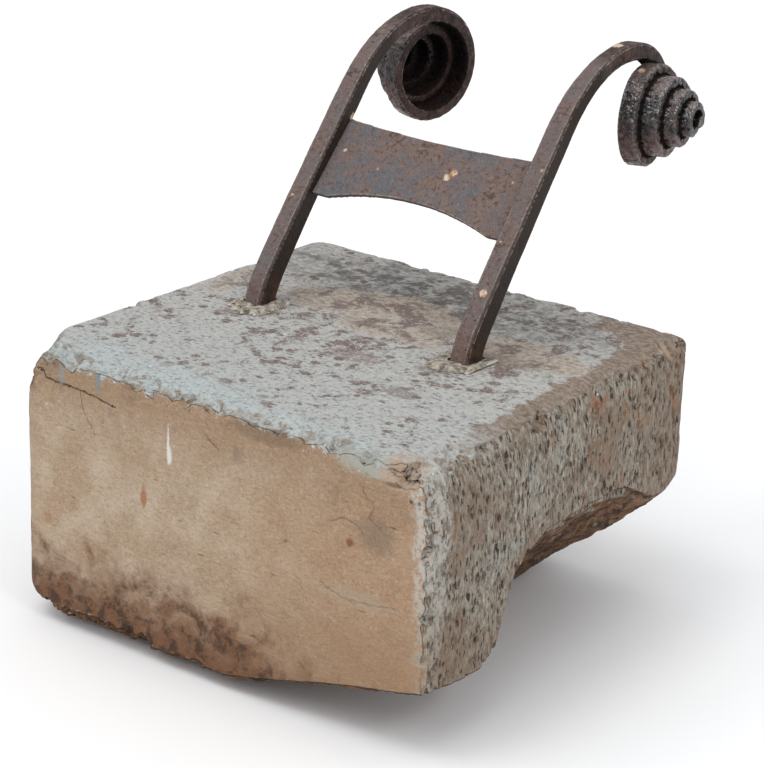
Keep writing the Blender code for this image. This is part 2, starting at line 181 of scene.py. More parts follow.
BAR_TINTS = ((0.14, 0.09, 0.076), (0.105, 0.086, 0.086))
BLADE_TINTS = ((0.158, 0.096, 0.074), (0.088, 0.092, 0.106))
IRON_RUST = (0.125, 0.055, 0.034)
IRON_BLACK = (0.014, 0.012, 0.012)
IRON_BLOOM = (0.26, 0.195, 0.17)
IRON_GRAIN = (0.27, 0.215, 0.19)
# painted shade: the bars' side faces darkened
FLANK_PAINTED_SHADE = (0.018, 0.011, 0.007)
RING_TINTS = ((0.01, 0.006, 0.005), (0.056, 0.024, 0.017))
RING_SPOT = (0.2, 0.092, 0.058)
SCALE_TINTS = ((0.008, 0.009, 0.012), (0.06, 0.045, 0.044))
CREST_TINTS = ((0.092, 0.062, 0.056), (0.225, 0.165, 0.152))
PATCH_TINTS = ((0.11, 0.038, 0.027), (0.225, 0.11, 0.085))
FOOT_RUST = (0.115, 0.047, 0.028)
# partly rubbed wear and partly a painted highlight along the irons' arrises
IRON_EDGE_WEAR_AND_HIGHLIGHT = (0.34, 0.29, 0.255)
# painted shade: near-black for the scrolls' hollows and insides
HOLLOW_PAINTED_SHADE = (0.01, 0.009, 0.009)
TIP_TINTS = ((0.11, 0.045, 0.032), (0.26, 0.13, 0.1))
CHIP_TINTS = ((0.42, 0.21, 0.095), (0.64, 0.52, 0.41))
# painted highlight: the colour of the glints painted on the right cone
PAINTED_GLINT = (0.56, 0.59, 0.625)

LEAD_DARK = (0.1, 0.08, 0.062)
LEAD_GREY = (0.275, 0.245, 0.205)
LEAD_PALE = (0.52, 0.48, 0.4)
# the lead of the right foot is made darker
LEAD_GRAIN = (0.18, 0.115, 0.07)
LEAD_DARKER_ON_RIGHT = (0.12, 0.085, 0.062)
LEAD_RIDGE = (0.66, 0.62, 0.53)
# painted shade: the creases of the lead darkened
LEAD_CREASE_PAINTED_SHADE = (0.05, 0.035, 0.028)

# ---- places of single marks

# centre (x, y), half sizes and share of the top's ochre stains
OCHRE_ZONES = (
    ((-0.066, 0.052), (0.038, 0.022), 0.75),
    ((-0.015, 0.072), (0.05, 0.02), 0.8),
    ((0.01, 0.03), (0.048, 0.02), 0.7),
    ((0.108, 0.048), (0.042, 0.02), 0.8),
    ((-0.145, 0.045), (0.012, 0.04), 0.6),
)

# centre (x, y), half sizes and colour of brown stains on the top
TOP_STAINS = (
    ((-0.1, -0.018), (0.01, 0.006), (0.145, 0.098, 0.08)),
    ((0.078, -0.018), (0.012, 0.007), (0.135, 0.09, 0.07)),
    ((0.104, 0.026), (0.022, 0.012), (0.205, 0.15, 0.118)),
    ((0.092, 0.004), (0.016, 0.005), (0.33, 0.22, 0.15)),
    ((0.02, -0.03), (0.02, 0.01), (0.18, 0.13, 0.112)),
    ((0.045, 0.05), (0.028, 0.01), (0.24, 0.175, 0.13)),
    ((0.084, -0.066), (0.014, 0.008), (0.17, 0.13, 0.118)),
    ((0.165, -0.156), (0.016, 0.01), (0.42, 0.3, 0.22)),
)

# centre (x, z), half sizes, colour and share of single marks on the sawn front
FRONT_MARKS = (
    ((-0.0272, 0.161), (0.001, 0.012), (0.66, 0.65, 0.62), 0.9),
    ((-0.0262, 0.1545), (0.002, 0.0062), (0.66, 0.65, 0.62), 0.9),
    ((-0.049, 0.119), (0.0026, 0.0075), (0.3, 0.105, 0.035), 0.75),
    ((0.137, 0.193), (0.024, 0.0075), (0.37, 0.4, 0.37), 0.75),
    ((0.125, 0.137), (0.003, 0.0026), (0.17, 0.045, 0.025), 0.75),
    ((0.145, 0.147), (0.014, 0.012), (0.15, 0.115, 0.085), 0.5),
    ((0.132, 0.101), (0.026, 0.0055), (0.37, 0.315, 0.235), 0.42),
    ((-0.158, 0.176), (0.008, 0.007), (0.16, 0.055, 0.035), 0.8),
    ((-0.123, 0.188), (0.003, 0.0085), (0.26, 0.26, 0.25), 0.7),
    ((-0.089, 0.192), (0.002, 0.009), (0.2, 0.235, 0.24), 0.9),
    ((0.163, 0.193), (0.015, 0.0095), (0.44, 0.315, 0.225), 0.85),
    # painted shadow: a thin dark line under the chipped hollow at the near corner
    ((0.157, 0.1845), (0.0065, 0.0014), (0.09, 0.055, 0.038), 0.65),
    ((0.055, 0.19), (0.03, 0.005), (0.16, 0.115, 0.08), 0.55),
    ((-0.137, 0.079), (0.0035, 0.004), (0.33, 0.15, 0.06), 0.45),
)

# corners (x, z), half width and share of cracks in the sawn front
FRONT_CRACKS = (
    (((-0.15, 0.184), (-0.137, 0.181), (-0.101, 0.18), (-0.074, 0.176)), 0.0006, 0.95),
    (((-0.106, 0.18), (-0.103, 0.166), (-0.092, 0.152)), 0.0005, 0.5),
    (((0.004, 0.178), (0.016, 0.17)), 0.0006, 0.6),
    (((0.109, 0.147), (0.118, 0.152), (0.131, 0.15), (0.137, 0.144)), 0.0005, 0.42),
    (((0.131, 0.178), (0.143, 0.166), (0.139, 0.158), (0.15, 0.152)), 0.0005, 0.42),
    (((0.102, 0.104), (0.118, 0.098), (0.14, 0.099), (0.162, 0.103)), 0.0005, 0.55),
    (((0.17, 0.177), (0.187, 0.178)), 0.0009, 0.85),
)
CRACK_WANDER = 0.006

# centre and size of pale chips in the iron
IRON_CHIPS = (
    ((0.015, 0.0825, 0.303), 0.0026),
    ((0.0112, 0.0795, 0.2995), 0.0026),
    ((-0.088, 0.1014, 0.3195), 0.0034),
    ((0.0843, 0.0253, 0.2451), 0.0028),
    ((0.0936, 0.1929, 0.3695), 0.0026),
    ((0.08, 0.18, 0.387), 0.0045),
    ((-0.0799, 0.0809, 0.3012), 0.0014),
)

# ---- studio

FLOOR_REACH = 12.0
FLOOR_TINTS = ((0.84, 0.85, 0.865), (0.88, 0.885, 0.895))
SKY_COLOUR = (0.98, 0.99, 1.0, 1.0)
SKY_STRENGTH = 0.84
SUNS = (("key", 0.94, 70.0), ("key_core", 0.4, 19.0))  # name, strength and spread
SUN_COLOUR = (1.0, 0.985, 0.965)
SUN_PLACE = (0.0, 0.0, 3.0)
SUN_AIM = (0.22, 0.42, 2.0)
SIDE_SIZE = (0.3, 0.45)
SIDE_WATTS = 5.6
SIDE_PLACE = (1.7, -0.75, 1.55)
SIDE_AIM = (0.1, 0.15, 0.25)

CAMERA_PLACE = (1.0838, -1.4044, 0.8242)
CAMERA_TURN = 37.1126
CAMERA_DIP = 20.3453
CAMERA_ROLL = 1.8873
CAMERA_LENS = 128.5  # millimetres, on a sensor this wide
CAMERA_SENSOR = 36.0
CAMERA_SEES = 50.0


# ---- mesh tools


def dense_copy(node, name, voxel, swell=None):
    """A voxel-remeshed copy of a CAD node, as an object that stands for it.

    swell(point) says how far each vertex moves outwards before the remeshing.
    """
    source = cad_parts[node].data.copy()
    piece = bpy.data.objects.new(name, source)
    bpy.context.scene.collection.objects.link(piece)
    welded = bmesh.new()
    welded.from_mesh(source)
    bmesh.ops.remove_doubles(welded, verts=welded.verts, dist=1e-6)
    if swell is not None:
        welded.normal_update()
        for vertex in welded.verts:
            vertex.co += vertex.normal * swell(vertex.co)
    welded.to_mesh(source)
    welded.free()
    remesh = piece.modifiers.new("dense", "REMESH")
    remesh.mode = "VOXEL"
    remesh.voxel_size = voxel
    depsgraph = bpy.context.evaluated_depsgraph_get()
    piece.data = bpy.data.meshes.new_from_object(piece.evaluated_get(depsgraph))
    piece.modifiers.clear()
    piece.data.materials.clear()
    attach(piece, "root")
    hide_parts(node)
    return piece


def read_rows(items, name, columns, kind=float):
    """One row of numbers for each vertex, normal or edge of a mesh."""
    values = np.empty(len(items) * columns, dtype=kind)
    items.foreach_get(name, values)
    return values.reshape(-1, columns)


def read_points(piece):
    return read_rows(piece.data.vertices, "co", 3)


def read_normals(piece):
    return read_rows(piece.data.vertex_normals, "vector", 3)


def read_edges(piece):
    return read_rows(piece.data.edges, "vertices", 2, np.int64)


def write_points(piece, points):
    piece.data.vertices.foreach_set("co", points.astype(np.float32).ravel())
    piece.data.update()
    piece.data.shade_smooth()


def relaxed(points, edges, rounds):
    """The points after this many rounds of moving each one halfway to the middle of its neighbours."""
    count = len(points)
    ends = np.concatenate((edges[:, 0], edges[:, 1]))
    others = np.concatenate((edges[:, 1], edges[:, 0]))
    neighbours = np.bincount(ends, minlength=count)[:, None]
    for _ in range(rounds):
        sums = np.stack(
            [np.bincount(ends, points[others, axis], count) for axis in range(3)], axis=1
        )
        points = 0.5 * points + 0.5 * sums / neighbours
    return points


def ramp(values, start, end):
    """0 at start, 1 at end, smooth between; start may be the higher one."""
    share = np.clip((values - start) / (end - start), 0.0, 1.0)
    return share * share * (3.0 - 2.0 * share)


def scaled_rows(points, size, seed, stretch):
    """The points in units of a noise's size, moved to its own part of the noise."""
    return [Vector(row) for row in points * (np.array(stretch) / size) + seed * 7.31]


def noise_at(points, size, seed, stretch=(1.0, 1.0, 1.0)):
    """Smooth noise from -1 to 1, whose bumps are about this size."""
    return np.array([noise.noise(row) for row in scaled_rows(points, size, seed, stretch)])


def fractal_at(points, size, octaves, seed, stretch=(1.0, 1.0, 1.0)):
    """Rough noise round 0, whose largest bumps are about this size."""
    rows = scaled_rows(points, size, seed, stretch)
    return np.array([noise.fractal(row, 0.9, 2.1, octaves) for row in rows])


def cells_at(points, size, seed, stretch=(1.0, 1.0, 1.0)):
    """Distance to the nearest of a scatter of points about this far apart, in cell sizes."""
    return np.array([noise.voronoi(row)[0][0] for row in scaled_rows(points, size, seed, stretch)])


def half_up(values, reach=0.5):
    """Noise round 0 turned into noise round a half."""
    return 0.5 + reach * values


def store(piece, name, values):
    """Keep one number for each vertex, for the material to read."""
    attribute = piece.data.attributes.new(name, "FLOAT", "POINT")
    attribute.data.foreach_set("value", values.astype(np.float32))


def convexity(piece, points, edges, rounds):
    """How far relaxing pulls each point in, in voxels: above 0 on ridges, below 0 in hollows."""
    pulled = np.einsum("ij,ij->i", points - relaxed(points, edges, rounds), read_normals(piece))
    spacing = np.linalg.norm(points[edges[:, 0]] - points[edges[:, 1]], axis=1).mean()
    return pulled / spacing


# ---- shader tools


class Shader:
    """Builds one material, node by node; sockets are passed on as values."""

    def __init__(self, name):
        self.material = bpy.data.materials.new(name)
        self.material.use_nodes = True
        self.tree = self.material.node_tree
        self.bsdf = self.tree.nodes["Principled BSDF"]
        place = self.tree.nodes.new("ShaderNodeTexCoord")
        self.position = place.outputs["Object"]
        normal = self.tree.nodes.new("ShaderNodeSeparateXYZ")
        self.link(place.outputs["Normal"], normal.inputs[0])
        self.normal_x, self.normal_y, self.normal_z = normal.outputs
        axes = self.tree.nodes.new("ShaderNodeSeparateXYZ")
        self.link(self.position, axes.inputs[0])
        self.x, self.y, self.z = axes.outputs

    def link(self, source, socket):
        if isinstance(source, bpy.types.NodeSocket):
            self.tree.links.new(source, socket)
        else:
            socket.default_value = source

    def math(self, operation, *values, clamp=False):
        node = self.tree.nodes.new("ShaderNodeMath")
        node.operation = operation
        node.use_clamp = clamp
        for value, socket in zip(values, node.inputs):
            self.link(value, socket)
        return node.outputs[0]

    def add(self, a, b):
        return self.math("ADD", a, b)

    def less(self, a, b):
        """a minus b."""
        return self.math("SUBTRACT", a, b)

    def times(self, first, *more):
        product = first
        for value in more:
            product = self.math("MULTIPLY", product, value)
        return product

    def most(self, first, *more):
        result = first
        for value in more:
            result = self.math("MAXIMUM", result, value)
        return result

    def opposite(self, share):
        return self.less(1.0, share)

    def without(self, a, b):
        """a where b isn't."""
        return self.times(a, self.math("SUBTRACT", 1.0, b, clamp=True))

    def centred(self, noise_value, reach):
        """Noise from 0 to 1 turned into noise round 0, this far from end to end."""
        return self.times(self.less(noise_value, 0.5), reach)

    def uneven(self, value, noise_value, reach):
        """The value with its contours shifted by noise."""
        return self.add(value, self.centred(noise_value, reach))

    def step(self, value, start, end):
        """0 at start, 1 at end, smooth between; start may be the higher one."""
        node = self.tree.nodes.new("ShaderNodeMapRange")
        node.interpolation_type = "SMOOTHSTEP"
        low, high, at_low, at_high = (start, end, 0.0, 1.0)
        if start > end:
            low, high, at_low, at_high = (end, start, 1.0, 0.0)
        for socket, number in zip(node.inputs, (value, low, high, at_low, at_high)):
            self.link(number, socket)
        return node.outputs[0]

    def texture(self, kind, size, stretch, seed):
        place = self.tree.nodes.new("ShaderNodeMapping")
        self.link(self.position, place.inputs["Vector"])
        place.inputs["Scale"].default_value = stretch
        place.inputs["Location"].default_value = (seed * 0.37, seed * 0.61, seed * 0.83)
        node = self.tree.nodes.new(kind)
        self.link(place.outputs[0], node.inputs["Vector"])
        node.inputs["Scale"].default_value = 1.0 / size
        return node

    def noise(self, size, detail, rough, stretch=(1, 1, 1), seed=0, warp=0.0):
        """Noise from 0 to 1 with bumps about this size."""
        node = self.texture("ShaderNodeTexNoise", size, stretch, seed)
        for socket, value in (("Detail", detail), ("Roughness", rough), ("Distortion", warp)):
            node.inputs[socket].default_value = value
        return node.outputs["Fac"]

    def cells(self, size, stretch=(1, 1, 1), seed=0):
        """Distance to the nearest of a scatter of points about this far apart, in cell sizes."""
        return self.texture("ShaderNodeTexVoronoi", size, stretch, seed).outputs["Distance"]

    def attribute(self, name):
        node = self.tree.nodes.new("ShaderNodeAttribute")
        node.attribute_name = name
        return node.outputs["Fac"]

    def mix(self, share, first, second):
        """Colour between first and second; a colour is a tuple of three."""
        node = self.tree.nodes.new("ShaderNodeMix")
        node.data_type = "RGBA"
        node.clamp_factor = True
        self.link(share, node.inputs[0])
        for value, socket in ((first, node.inputs[6]), (second, node.inputs[7])):
            self.link((*value, 1.0) if isinstance(value, tuple) else value, socket)
        return node.outputs[2]

    def blend(self, value, start, end, first, second):
        """The first tint where the value is at start, the second where it is at end."""
        return self.mix(self.step(value, start, end), first, second)

    def lay(self, colour, tint, *shares):
        """The colour with a layer of this tint over it, as strong as the shares' product."""
        return self.mix(self.times(*shares), colour, tint)

    def layers(self, colour, *rows):
        """The colour under layers of (tint, value, start, end, share), where value is past start."""
        for tint, value, start, end, share in rows:
            colour = self.lay(colour, tint, self.step(value, start, end), share)
        return colour

    def shades(self, value, *stops):
        """A colour ramp; each stop is (place, colour)."""
        node = self.tree.nodes.new("ShaderNodeValToRGB")
        self.link(value, node.inputs[0])
        elements = node.color_ramp.elements
        while len(elements) < len(stops):
            elements.new(0.5)
        for element, (place, colour) in zip(elements, stops):
            element.position = place
            element.color = (*colour, 1.0)
        return node.outputs[0]

    def length(self, a, b):
        return self.math("SQRT", self.add(self.times(a, a), self.times(b, b)))

    def spot(self, rise, centre, size, edge, wobble=None):
        """A soft-edged ragged patch on x and this other axis, with these half sizes."""
        across = self.math("DIVIDE", self.less(self.x, centre[0]), size[0])
        along = self.math("DIVIDE", self.less(rise, centre[1]), size[1])
        reach = self.length(across, along)
        if wobble is not None:
            reach = self.add(reach, wobble)
        return self.step(reach, 1.0 + edge, 1.0 - edge)

    def ball(self, centre, size, wobble):
        """A ragged patch within about this distance of a point."""
        node = self.tree.nodes.new("ShaderNodeVectorMath")
        node.operation = "DISTANCE"
        self.link(self.position, node.inputs[0])
        node.inputs[1].default_value = centre
        reach = self.add(self.math("DIVIDE", node.outputs["Value"], size), wobble)
        return self.step(reach, 1.15, 0.85)

    def crack(self, line, width, wobble):
        """A thin line on x and z through these corners, wandering a little."""
        shift = self.centred(wobble, CRACK_WANDER)
        across = self.add(self.x, shift)
        height = self.add(self.z, shift)
        nearest = None
        for start, end in zip(line, line[1:]):
            run = (end[0] - start[0], end[1] - start[1])
            length = math.hypot(*run)
            dx = self.less(across, start[0])
            dz = self.less(height, start[1])
            along = self.add(self.times(dx, run[0] / length**2), self.times(dz, run[1] / length**2))
            along = self.math("ADD", along, 0.0, clamp=True)
            dx = self.less(dx, self.times(along, run[0]))
            dz = self.less(dz, self.times(along, run[1]))
            away = self.length(dx, dz)
            nearest = away if nearest is None else self.math("MINIMUM", nearest, away)
        return self.step(nearest, width * 1.6, width * 0.5)

    def bump(self, height, distance, strength, after=None):
        """Relief of this depth, on top of the relief before it."""
        node = self.tree.nodes.new("ShaderNodeBump")
        node.inputs["Strength"].default_value = strength
        node.inputs["Distance"].default_value = distance
        self.link(height, node.inputs["Height"])
        if after is not None:
            self.link(after, node.inputs["Normal"])
        return node.outputs[0]

    def finish(self, colour, roughness, relief, specular):
        self.link(colour, self.bsdf.inputs["Base Color"])
        self.link(roughness, self.bsdf.inputs["Roughness"])
        self.link(specular, self.bsdf.inputs["Specular IOR Level"])
        self.link(relief, self.bsdf.inputs["Normal"])
        return self.material


# ---- stone: shape


def near_feet(points):
    """1 far from the irons' feet, 0 right at them."""
    away = np.min([np.hypot(points[:, 0] - f.x, points[:, 1] - f.y) for f in FEET], axis=0)
    return ramp(away, FOOT_GUARD * 0.75, FOOT_GUARD * 1.3)


def arris_points():
    """Seeded places along the block's arrises, each with the way that its chip faces."""
    low, high = STONE_LOW, STONE_HIGH
    middle = (low + high) / 2
    edges = (
        ((low.x, low.y, high.z), (high.x, low.y, high.z)),
        ((high.x - 0.009, low.y, high.z), (middle.x + 0.16, high.y, high.z)),
        ((low.x, low.y, high.z), (low.x, high.y, high.z)),
        ((low.x, high.y, high.z), (high.x - 0.018, high.y, high.z)),
        ((high.x, low.y, 0.05), (high.x, low.y, high.z - 0.03)),
        ((low.x, high.y, 0.02), (low.x, high.y, high.z)),
        ((low.x, low.y, 0.012), (0.02, low.y, 0.005)),
        ((low.x, low.y, 0.012), (low.x, high.y, 0.012)),
    )
    for start, end in edges:
        start, end = Vector(start), Vector(end)
        for _ in range(int(CHIPS_PER_METRE * (end - start).length)):
            place = start.lerp(end, random.random())
            way = place - middle
            along = (end - start).normalized()
            way -= along * way.dot(along)
            way = Vector([math.copysign(1.0, v) if abs(v) > 0.06 else 0.0 for v in way])
            tilt = Vector([random.gauss(0.0, CHIP_TILT) for _ in range(3)])
            yield place, (way.normalized() + tilt).normalized()


def chip_arrises(points):
    """Press points that stand in front of each chip's plane back almost onto it."""
    for place, way in arris_points():
        depth = random.uniform(*CHIP_DEPTHS)
        reach = random.uniform(*CHIP_REACHES)
        offset = points - np.array(place)
        height = offset @ np.array(way) + depth
        near = np.linalg.norm(offset, axis=1) < reach
        hit = near & (height > 0.0)
        points[hit] -= np.outer(height[hit], np.array(way)) * 0.9
    return points


def dent(points, normals, centre, sizes, depth):
    """Sink a rough hollow of these half sizes."""
    reach = np.linalg.norm((points - np.array(centre)) / np.array(sizes), axis=1)
    hit = reach < 1.0
    rough = np.clip(0.7 + 0.7 * fractal_at(points[hit], 0.0065, 4, 9.0), 0.1, 1.4)
    sunk = points.copy()
    sunk[hit] -= normals[hit] * (depth * rough * ramp(reach[hit], 1.0, 0.35))[:, None]
    return sunk


def round_and_chip(points, edges, free):
    """Arrises rounded by a changing amount, then chipped, as far as each point is free to move."""
    soft = relaxed(points, edges, SOFT_ROUNDS)
    softer = relaxed(soft, edges, WORN_ROUNDS)
    worn = ramp(noise_at(points, 0.045, 1.0), -0.35, 0.45)[:, None]
    points += ((soft + (softer - soft) * worn) - points) * free[:, None]
    chipped = chip_arrises(points.copy())
    points += (chipped - points) * free[:, None]
    return points


def build_stone():
    stone = dense_copy("stone_block", "worn_stone", STONE_VOXEL)
    points = read_points(stone)
    edges = read_edges(stone)
    guard = near_feet(points)
    at_top = ramp(points[:, 2], TOP_Z - 0.03, TOP_Z - 0.012)
    free = 1.0 - (1.0 - guard) * at_top
    points = round_and_chip(points, edges, free)
    write_points(stone, points)

    normals = read_normals(stone)
    top = ramp(normals[:, 2], 0.6, 0.9)
    front = ramp(-normals[:, 1], 0.6, 0.9)
    right = ramp(normals[:, 0], 0.35, 0.75) * (1.0 - top)
    left_or_back = ramp(np.maximum(-normals[:, 0], normals[:, 1]), 0.5, 0.85)
    below = ramp(-normals[:, 2], 0.25, 0.6) * ramp(points[:, 2], 0.0, 0.004)

    pecks = cells_at(points, 0.0068, 4.0, (0.8, 1.45, 0.55))
    broken = np.clip(half_up(fractal_at(points, 0.03, 5, 6.0, (1.0, 1.0, 1.8))), 0.0, 1.0)
    sink = FACE_WAVES * half_up(noise_at(points, 0.06, 2.0)) * (top + front)
    sink += TOP_GRIT * half_up(fractal_at(points, 0.012, 3, 3.0)) * top
    sink += PECK_DEPTH * ramp(pecks, 0.46, 0.1) * (right + 0.6 * left_or_back)
    sink += SIDE_WAVES * half_up(fractal_at(points, 0.022, 3, 5.0)) * (right + left_or_back)
    sink += BROKEN_DEPTH * broken * below
    sink *= free
    points = points - normals * sink[:, None]
    for centre, sizes, depth in STONE_DENTS:
        points = dent(points, normals, centre, sizes, depth)
    from_corner = np.linalg.norm(points - np.array(CORNER), axis=1)
    lumpy = np.clip(half_up(fractal_at(points, 0.009, 4, 8.0), 0.9), 0.0, 1.0)
    points = points - normals * (CORNER_DEPTH * lumpy * ramp(from_corner, 0.034, 0.014))[:, None]
    points[:, 2] = np.clip(points[:, 2], STONE_LOW.z, STONE_HIGH.z)
    write_points(stone, points)

    store(stone, "pecked", ramp(pecks, 0.42, 0.2) * (right + 0.7 * left_or_back))
    store(stone, "convex", convexity(stone, points, edges, 6))
    stone.data.materials.append(stone_material())


# ---- stone: colour


def stone_noises(s):
    """The noises that several parts of the stone's material share, from coarse to fine."""
    return SimpleNamespace(
        wander=s.noise(0.03, 4, 0.6, seed=1),
        splash=s.noise(0.02, 6, 0.68, seed=6, warp=0.6),
        flow=s.noise(0.018, 5, 0.66, seed=12, warp=0.4),
        chipped=s.noise(0.016, 5, 0.75, seed=36),
        over=s.noise(0.005, 4, 0.7, seed=15),
        wrinkles=s.noise(0.0042, 4, 0.65, (0.75, 1.0, 1.45), seed=32, warp=1.1),
        torn=s.noise(0.004, 5, 0.75, seed=16),
        speck=s.noise(0.0035, 4, 0.75, seed=3),
        fine=s.noise(0.003, 5, 0.72, (0.7, 1.0, 1.0), seed=13),
        remnants=s.step(s.noise(0.0026, 4, 0.7, seed=38), 0.53, 0.6),
        hairs=s.noise(0.0022, 4, 0.75, (0.8, 1.5, 0.5), seed=31),
        salt=s.noise(0.0019, 4, 0.7, seed=39),
        grain=s.noise(0.0011, 3, 0.7, seed=2),
    )


def sawn_front(s, n):
    """Tan sandstone with a fine level grain, redder towards its top and right edges."""
    level_grain = s.noise(0.0036, 6, 0.74, (0.6, 1.0, 1.3), seed=4)
    tone = s.add(s.times(n.wander, 0.6), s.times(level_grain, 0.4))
    ruddy = s.step(s.noise(0.055, 3, 0.5, seed=5), 0.56, 0.8)
    near_top = s.step(s.z, TOP_Z - 0.05, TOP_Z - 0.008)
    to_right = s.step(s.x, -0.02, 0.14)
    orange = s.most(ruddy, s.times(near_top, 0.9), s.times(to_right, 0.85))
    low_right = s.times(s.step(s.z, 0.115, 0.05), s.step(s.x, 0.00, 0.07))
    smudge = s.times(s.step(s.noise(0.026, 5, 0.65, seed=17), 0.54, 0.66), s.add(0.3, near_top))
    front = s.blend(tone, 0.38, 0.64, TAN, TAN_LIGHT)
    front = s.lay(front, TAN_ORANGE, orange, 0.8)
    front = s.layers(
        front,
        (TAN_SHADE, s.z, TOP_Z - 0.06, TOP_Z - 0.015, 0.35),
        (DIRT, n.wrinkles, 0.46, 0.34, 0.2),
        (WRINKLE_PALE, n.wrinkles, 0.56, 0.66, 0.22),
        (GRAIN_DARK, n.salt, 0.46, 0.34, 0.34),
        (GRAIN_PALE, n.salt, 0.55, 0.66, 0.26),
    )
    front = s.lay(front, TAN_LOW, low_right, 0.42)
    return s.lay(front, SMUDGE, smudge, 0.5)


def dirt_climb(s, n):
    """Height above the ground, ragged and less on the left, where the dirt climbs higher."""
    climb = s.uneven(s.z, n.splash, -0.1)
    return s.add(climb, s.times(s.opposite(s.step(s.x, 0.13, 0.02)), 0.034))


def front_dirt(s, n, front, climb, dirty):
    """Dirt that climbs up from the ground, then scratches and cracks."""
    sooty = s.step(s.noise(0.011, 6, 0.72, seed=7), 0.47, 0.6)
    ground = s.times(s.step(s.add(s.z, s.times(n.splash, 0.04)), 0.058, 0.028), 0.45)
    scratches = s.step(s.noise(0.006, 2, 0.5, (0.35, 1.0, 1.6), seed=8), 0.7, 0.74)
    front = s.lay(front, DIRT, dirty, 0.94)
    front = s.lay(front, DIRT_PALE, dirty, s.step(n.salt, 0.54, 0.66), 0.28)
    front = s.lay(front, DIRT_DARK, s.times(s.step(climb, 0.066, 0.022), sooty), 0.85)
    front = s.lay(front, GROUND_STAIN, s.without(ground, dirty))
    front = s.lay(front, DIRT_DARK, scratches, 0.55)
    for line, width, share in FRONT_CRACKS:
        front = s.lay(front, DIRT_DARK, s.crack(line, width, n.over), share)
    return front


def upright_pits(s, n):
    """Dark pits that the pecking left, taller than wide."""
    cells = s.cells(0.0056, (0.7, 1.6, 0.6), seed=19)
    size = s.times(s.noise(0.02, 4, 0.7, seed=18), 0.52)
    return s.step(s.less(s.uneven(cells, n.hairs, 0.9), size), 0.03, -0.09)


def pecked_side(s, n, pits):
    patch = s.noise(0.05, 5, 0.6, seed=9)
    streaky = s.noise(0.005, 4, 0.7, (1.0, 1.5, 0.55), seed=10)
    back_part = s.times(s.step(s.add(s.y, s.times(patch, 0.1)), 0.08, 0.19), 0.8)
    brown_zone = s.most(s.step(patch, 0.47, 0.6), back_part)
    blue_zone = s.times(s.step(patch, 0.46, 0.36), s.step(s.y, 0.05, -0.05))
    low = s.step(s.add(s.z, s.times(patch, 0.05)), 0.12, 0.045)
    rusty = s.times(s.step(s.noise(0.028, 5, 0.7, seed=11), 0.55, 0.66), s.step(s.y, -0.09, 0.03))
    pores = s.uneven(s.cells(0.003, (0.8, 1.5, 0.65), seed=40), n.hairs, 0.9)
    side = s.blend(streaky, 0.36, 0.52, SIDE_BROWN, SIDE_GREY)
    side = s.lay(side, SIDE_LIGHT, s.step(streaky, 0.52, 0.66))
    hairs = (HAIR_PALE, n.hairs, 0.54, 0.62, 0.58), (HAIR_DARK, n.hairs, 0.47, 0.38, 0.62)
    side = s.layers(side, *hairs)
    side = s.lay(side, SIDE_STAIN, brown_zone, 0.6)
    side = s.lay(side, SIDE_BLUE, blue_zone, s.step(n.hairs, 0.4, 0.55), 0.55)
    side = s.lay(side, SIDE_LOW, low, 0.75)
    side = s.lay(side, RUST, rusty, 0.75)
    side = s.lay(side, PIT, pits, 0.8)
    return s.lay(side, PORE, s.step(pores, 0.2, 0.1), 0.75)


def top_masks(s, n):
    """Where the top's paint is bluer, where it may wear through, and where it has gone."""
    m = SimpleNamespace()
    m.y_wavy = s.uneven(s.y, n.wander, 0.08)
    m.bluer = s.step(s.add(m.y_wavy, s.times(s.most(s.x, 0.0), 0.2)), -0.112, -0.146)
    m.middle = s.spot(s.y, (0.03, 0.005), (0.15, 0.115), 0.45)
    m.patchy = s.uneven(n.flow, n.fine, 0.36)
    thin = s.step(s.noise(0.04, 4, 0.6, seed=20), 0.4, 0.66)
    bent = s.centred(n.torn, 0.55)
    spots = s.add(s.cells(0.0135, (0.8, 1.0, 1.0), seed=27), bent)
    dashes = s.add(s.cells(0.0062, (0.7, 1.1, 1.0), seed=28), s.times(bent, 0.7))
    large_bare = s.step(s.add(m.patchy, s.times(m.middle, 0.052)), 0.612, 0.632)
    small_bare = s.step(s.less(spots, s.times(thin, 0.16)), 0.16, 0.13)
    tiny_bare = s.step(s.less(dashes, s.times(thin, 0.2)), 0.085, 0.06)
    bare = s.most(large_bare, small_bare, s.times(tiny_bare, 0.9))
    bare = s.without(bare, s.times(m.bluer, 0.85))
    m.bare = s.without(bare, s.times(n.remnants, 0.75))
    return m


def painted_top(s, n, m):
    """Grey paint, bluer near the front, with bare mauve-brown spots and chalky rims."""
    chalk_dots = s.times(s.step(s.noise(0.0021, 3, 0.7, seed=33), 0.59, 0.66), 0.65)
    rim = s.times(s.step(m.patchy, 0.56, 0.585), s.step(n.fine, 0.48, 0.6), m.middle)
    paint = s.blend(n.fine, 0.34, 0.62, PAINT, PAINT_LIGHT)
    paint = s.lay(paint, PAINT_BLUE, s.step(m.y_wavy, 0.02, -0.13), 0.25)
    paint = s.lay(paint, PAINT_BLUER, m.bluer, 0.75)
    paint = s.lay(paint, CHALK, chalk_dots)
    paint = s.lay(paint, PAINT_DARK, s.step(n.fine, 0.48, 0.37), 0.85)
    paint = s.lay(paint, PAINT_DARK, m.bluer, s.step(n.speck, 0.53, 0.62), 0.5)
    paint = s.lay(paint, CHALK, rim, 0.45)
    return s.lay(paint, s.blend(n.speck, 0.4, 0.62, BARE_MAUVE, BARE_LIGHT), m.bare)


